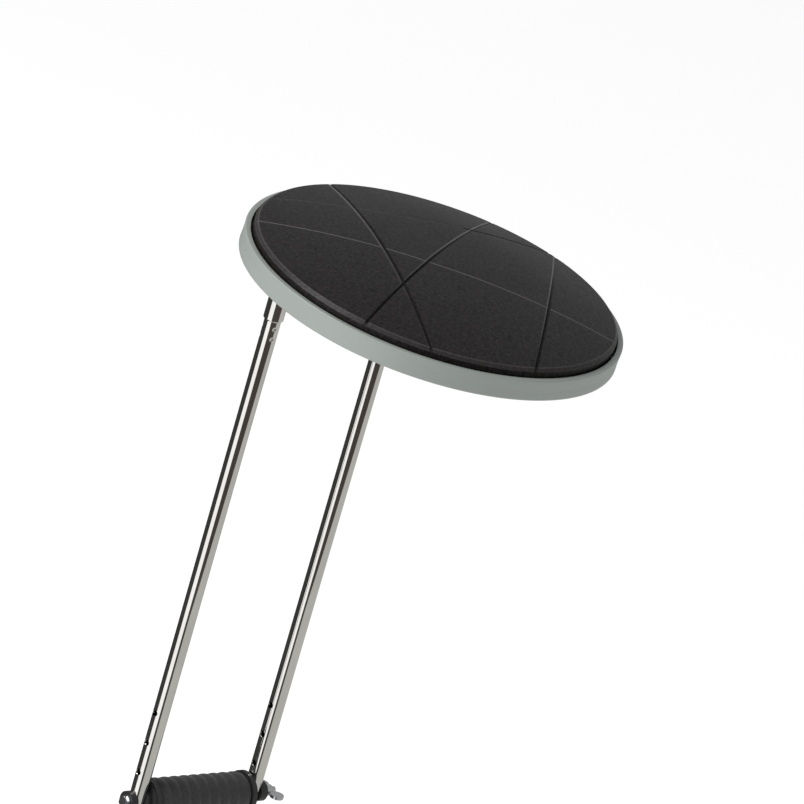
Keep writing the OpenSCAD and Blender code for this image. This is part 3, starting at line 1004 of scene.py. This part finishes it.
class CRUTCH_OT_leg(bpy.types.Operator):
    """Finishes the fork block, bush, snap buttons and what is inside the leg"""
    bl_idname = "crutch.leg"
    bl_label = "Leg"

    def execute(self, context):
        paint(material_named("tray_plastic"), "fork_block")
        paint(material_named("nylon"), "leg_plug", "leg_bush", "guide_ring")
        paint(material_named("zinc"), "fork_rivets", "left_button", "right_button", "tip_washer")
        paint(material_named("spring_steel"), "snap_spring")
        return {"FINISHED"}


class CRUTCH_OT_tip(bpy.types.Operator):
    """Moulds the rubber tip with its ribs and its ringed sole"""
    bl_idname = "crutch.tip"
    bl_label = "Rubber tip"

    def execute(self, context):
        tip = context.scene.crutch_tip
        low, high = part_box("rubber_tip")
        foot = (high.x - low.x) / 2
        bore = size("tip_washer").x / 2 + 0.05 * MM
        neck = 13.4 * MM
        top = high.z
        outline = [(0, 0, 0)]
        for ring in (9 * MM, 14 * MM, 19 * MM):
            outline += [(ring - 1 * MM, 0, 0.2 * MM), (ring - 0.7 * MM, 2.2 * MM, 0.4 * MM),
                        (ring + 0.7 * MM, 2.2 * MM, 0.4 * MM), (ring + 1 * MM, 0, 0.2 * MM)]
        outline += [(foot, 0, 1.2 * MM), (foot, 7 * MM, 1.5 * MM),
                    (neck + 2.6 * MM, 18.5 * MM, 8 * MM), (neck, 23 * MM, 1.5 * MM)]
        gap = 7 * MM
        for i in range(tip.ribs):
            base = 24 * MM + i * gap
            outline += [(neck, base, 0.4 * MM), (neck + 1 * MM, base + 0.9 * MM, 0.6 * MM),
                        (neck + 1 * MM, base + 3.1 * MM, 0.6 * MM), (neck, base + 4 * MM, 0.4 * MM)]
        bead = 1.6 * MM
        outline += [(neck, top - 6 * MM, 0.5 * MM), (neck + bead, top - 5 * MM, 1.2 * MM),
                    (neck + bead, top, 1.8 * MM), (bore, top, 0.8 * MM), (bore, 10 * MM, 0),
                    (0, 10 * MM, 0)]
        mesh = to_mesh(lathe(filleted(outline), 128), "tip", None, 40)
        add_piece("tip", mesh, material_named("tip_rubber"), "leg", "tip_rubber", "rubber_tip")
        return {"FINISHED"}


# ---------------------------------------------------------------- hand grip


class CRUTCH_OT_grip(bpy.types.Operator):
    """Turns the ribbed foam sleeve, and finishes the grip's core, bolt and wing nut"""
    bl_idname = "crutch.grip"
    bl_label = "Hand grip"

    def execute(self, context):
        grip = context.scene.crutch_grip
        low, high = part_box("grip_foam")
        half = (high.y - low.y) / 2
        outside = (high.z - low.z) / 2
        bore = 11.1 * MM
        steps = 16 * grip.ribs
        shoulder = 3 * MM
        outline = [(bore, -half), (outside - 2.2 * MM, -half)]
        for i in range(steps + 1):
            along = i / steps
            wave = 0.5 - 0.5 * math.cos(2 * math.pi * grip.ribs * along)
            swell = outside - grip.rib_height * (1 - wave ** 0.6)
            outline.append((swell, (2 * along - 1) * (half - shoulder * 0.5)))
        outline += [(outside - 2.2 * MM, half), (bore, half)]
        turned = lathe(outline, 96, closed=True)
        mesh = to_mesh(turned, "grip_sleeve", along_y(middle("grip_foam")), 40)
        sleeve = add_piece("grip_sleeve", mesh, material_named("grip_foam"), "grip", "grip_foam",
                           "grip_foam")
        paint(material_named("nylon"), "grip_core", "grip_saddles")
        paint(material_named("zinc"), "grip_bolt", "nut_washer", "wing_nut")
        return {"FINISHED"}


# ---------------------------------------------------------------- camera, floor and lights


def plain(name, base, glow):
    """A plain, matt material for the stage, with its own light."""
    material = bpy.data.materials.new(name)
    material.use_nodes = True
    feed(material.node_tree, material.node_tree.nodes["Principled BSDF"], {
        "Base Color": (*base, 1.0), "Roughness": 0.9, "Specular IOR Level": 0.0,
        "Emission Color": (*glow, 1.0), "Emission Strength": 1.0})
    return material


def stage_piece(name, mesh, material, *rays):
    """A piece of the stage, which isn't part of the crutch, and isn't seen by some rays."""
    mesh.materials.append(material)
    made = new_object(name, mesh)
    for ray in rays:
        setattr(made, "visible_" + ray, False)


# A card's outline, from the floor beside the leg to the top of its wall: (reach, height)
CARD = ((0.02, 0.002), (1.2, 0.002), (1.2, 0.38), (1.2, 0.66), (1.2, 1.12))


def reflector(name, starts, ends, tone):
    """A card round the crutch that only shows in reflections, a wedge of floor with a wall
    behind it. Its sides are bearings in degrees from the camera, counted to its right, one for
    each point of the outline."""
    steps = 12
    turn = bpy.context.scene.crutch_stage.azimuth
    corners = []
    for i in range(steps + 1):
        for start, end, (reach, height) in zip(starts, ends, CARD):
            bearing = turn + math.radians(start + (end - start) * i / steps)
            corners.append((reach * math.sin(bearing), -reach * math.cos(bearing), height))
    wide = len(CARD)
    faces = [(wide * i + k, wide * i + k + wide, wide * i + k + wide + 1, wide * i + k + 1)
             for i in range(steps) for k in range(wide - 1)]
    stage_piece(name, loose_mesh(name, corners, faces), plain(name, (0, 0, 0), tone),
                "camera", "diffuse", "shadow")


def softbox(name, place, target, side, power):
    """A square area light aimed at a point."""
    lamp = bpy.data.lights.new(name, "AREA")
    lamp.energy = power
    lamp.size = side
    made = new_object(name, lamp)
    made.location = place
    made.rotation_euler = (Vector(target) - Vector(place)).to_track_quat("-Z", "Y").to_euler()


class CRUTCH_OT_stage(bpy.types.Operator):
    """Sets the pale floor, the soft lights and the camera"""
    bl_idname = "crutch.stage"
    bl_label = "Stage"

    def execute(self, context):
        scene = context.scene
        stage = scene.crutch_stage
        half = 30.0
        corners = [(-half, -half, 0), (half, -half, 0), (half, half, 0), (-half, half, 0)]
        stage_piece("floor", loose_mesh("floor", corners, [(0, 1, 2, 3)]),
                    plain("floor", (0.88, 0.88, 0.88), (0.53, 0.53, 0.53)))

        # A white dome that only the camera sees hides the horizon
        arc = [math.radians(turn) for turn in range(0, 91, 10)]
        dome = lathe([(half * math.cos(turn), half * math.sin(turn) - 1) for turn in arc], 48)
        stage_piece("backdrop", to_mesh(dome, "backdrop"), plain("backdrop", (0, 0, 0), (1, 1, 1)),
                    "diffuse", "glossy", "transmission", "volume_scatter", "shadow")

        world = bpy.data.worlds.new("studio")
        world.use_nodes = True
        feed(world.node_tree, world.node_tree.nodes["Background"],
             {"Color": (1, 1, 1, 1), "Strength": 0.45})
        scene.world = world
        softbox("key", (-0.7, -2.6, 3.0), REST_MIDDLE, 1.6, 80)

        # Where the cards meet, in degrees to the right of the camera
        behind_left, at_left, before_left = ((turn,) * len(CARD) for turn in (-180, -60, -12))
        at_right, behind_right = (13, 13, 13, 66, 66), (180,) * len(CARD)
        reflector("dark_left", behind_left, at_left, (0.045, 0.045, 0.043))
        reflector("bright_left", at_left, before_left, (1.12, 1.12, 1.12))
        reflector("dark_front", before_left, at_right, (0.065, 0.055, 0.050))
        reflector("grey_right", at_right, behind_right, (0.50, 0.50, 0.47))

        scene.view_settings.view_transform = "Standard"
        back = Vector((math.sin(stage.azimuth) * math.cos(stage.elevation),
                       -math.cos(stage.azimuth) * math.cos(stage.elevation),
                       math.sin(stage.elevation)))
        level = Vector((math.cos(stage.azimuth), math.sin(stage.azimuth), 0))
        lift = back.cross(level)
        right = level * math.cos(stage.roll) + lift * math.sin(stage.roll)
        up = lift * math.cos(stage.roll) - level * math.sin(stage.roll)
        camera = new_object("camera", bpy.data.cameras.new("camera"))
        camera.data.lens = stage.lens
        camera.data.clip_end = 100
        aim = REST_MIDDLE - right * stage.aim_left - up * stage.aim_down
        turned = Matrix((right, up, back)).transposed().to_4x4()
        camera.matrix_world = Matrix.Translation(aim + back * stage.distance) @ turned
        scene.camera = camera
        return {"FINISHED"}


# ---------------------------------------------------------------- the add-on

OPERATORS = (CRUTCH_OT_stage, CRUTCH_OT_pad, CRUTCH_OT_tray, CRUTCH_OT_bracket, CRUTCH_OT_tubes,
             CRUTCH_OT_leg, CRUTCH_OT_tip, CRUTCH_OT_grip)
SETTINGS = {
    "crutch_pad": PadSettings, "crutch_tray": TraySettings, "crutch_tube": TubeSettings,
    "crutch_grip": GripSettings, "crutch_tip": TipSettings, "crutch_stage": StageSettings,
}


class CRUTCH_PT_panel(bpy.types.Panel):
    """The settings and the operators, in the 3D view's sidebar"""
    bl_idname = "CRUTCH_PT_panel"
    bl_label = "Underarm Crutch"
    bl_space_type = "VIEW_3D"
    bl_region_type = "UI"
    bl_category = "Crutch"

    def draw(self, context):
        for operator in OPERATORS:
            self.layout.operator(operator.bl_idname)
        for name, group in SETTINGS.items():
            box = self.layout.box()
            box.label(text=group.__doc__)
            for key in group.__annotations__:
                box.prop(getattr(context.scene, name), key)


def register():
    """Registers the settings, the operators and the panel."""
    for name, group in SETTINGS.items():
        bpy.utils.register_class(group)
        setattr(bpy.types.Scene, name, PointerProperty(type=group))
    for operator in OPERATORS:
        bpy.utils.register_class(operator)
    bpy.utils.register_class(CRUTCH_PT_panel)


def unregister():
    """Takes all of them out again."""
    bpy.utils.unregister_class(CRUTCH_PT_panel)
    for operator in reversed(OPERATORS):
        bpy.utils.unregister_class(operator)
    for name, group in SETTINGS.items():
        delattr(bpy.types.Scene, name)
        bpy.utils.unregister_class(group)


def main():
    """Builds the whole crutch."""
    register()
    bpy.ops.crutch.stage()
    bpy.ops.crutch.pad()
    bpy.ops.crutch.tray()
    bpy.ops.crutch.bracket()
    bpy.ops.crutch.tubes()
    bpy.ops.crutch.leg()
    bpy.ops.crutch.tip()
    bpy.ops.crutch.grip()


if __name__ == "__main__":
    main()
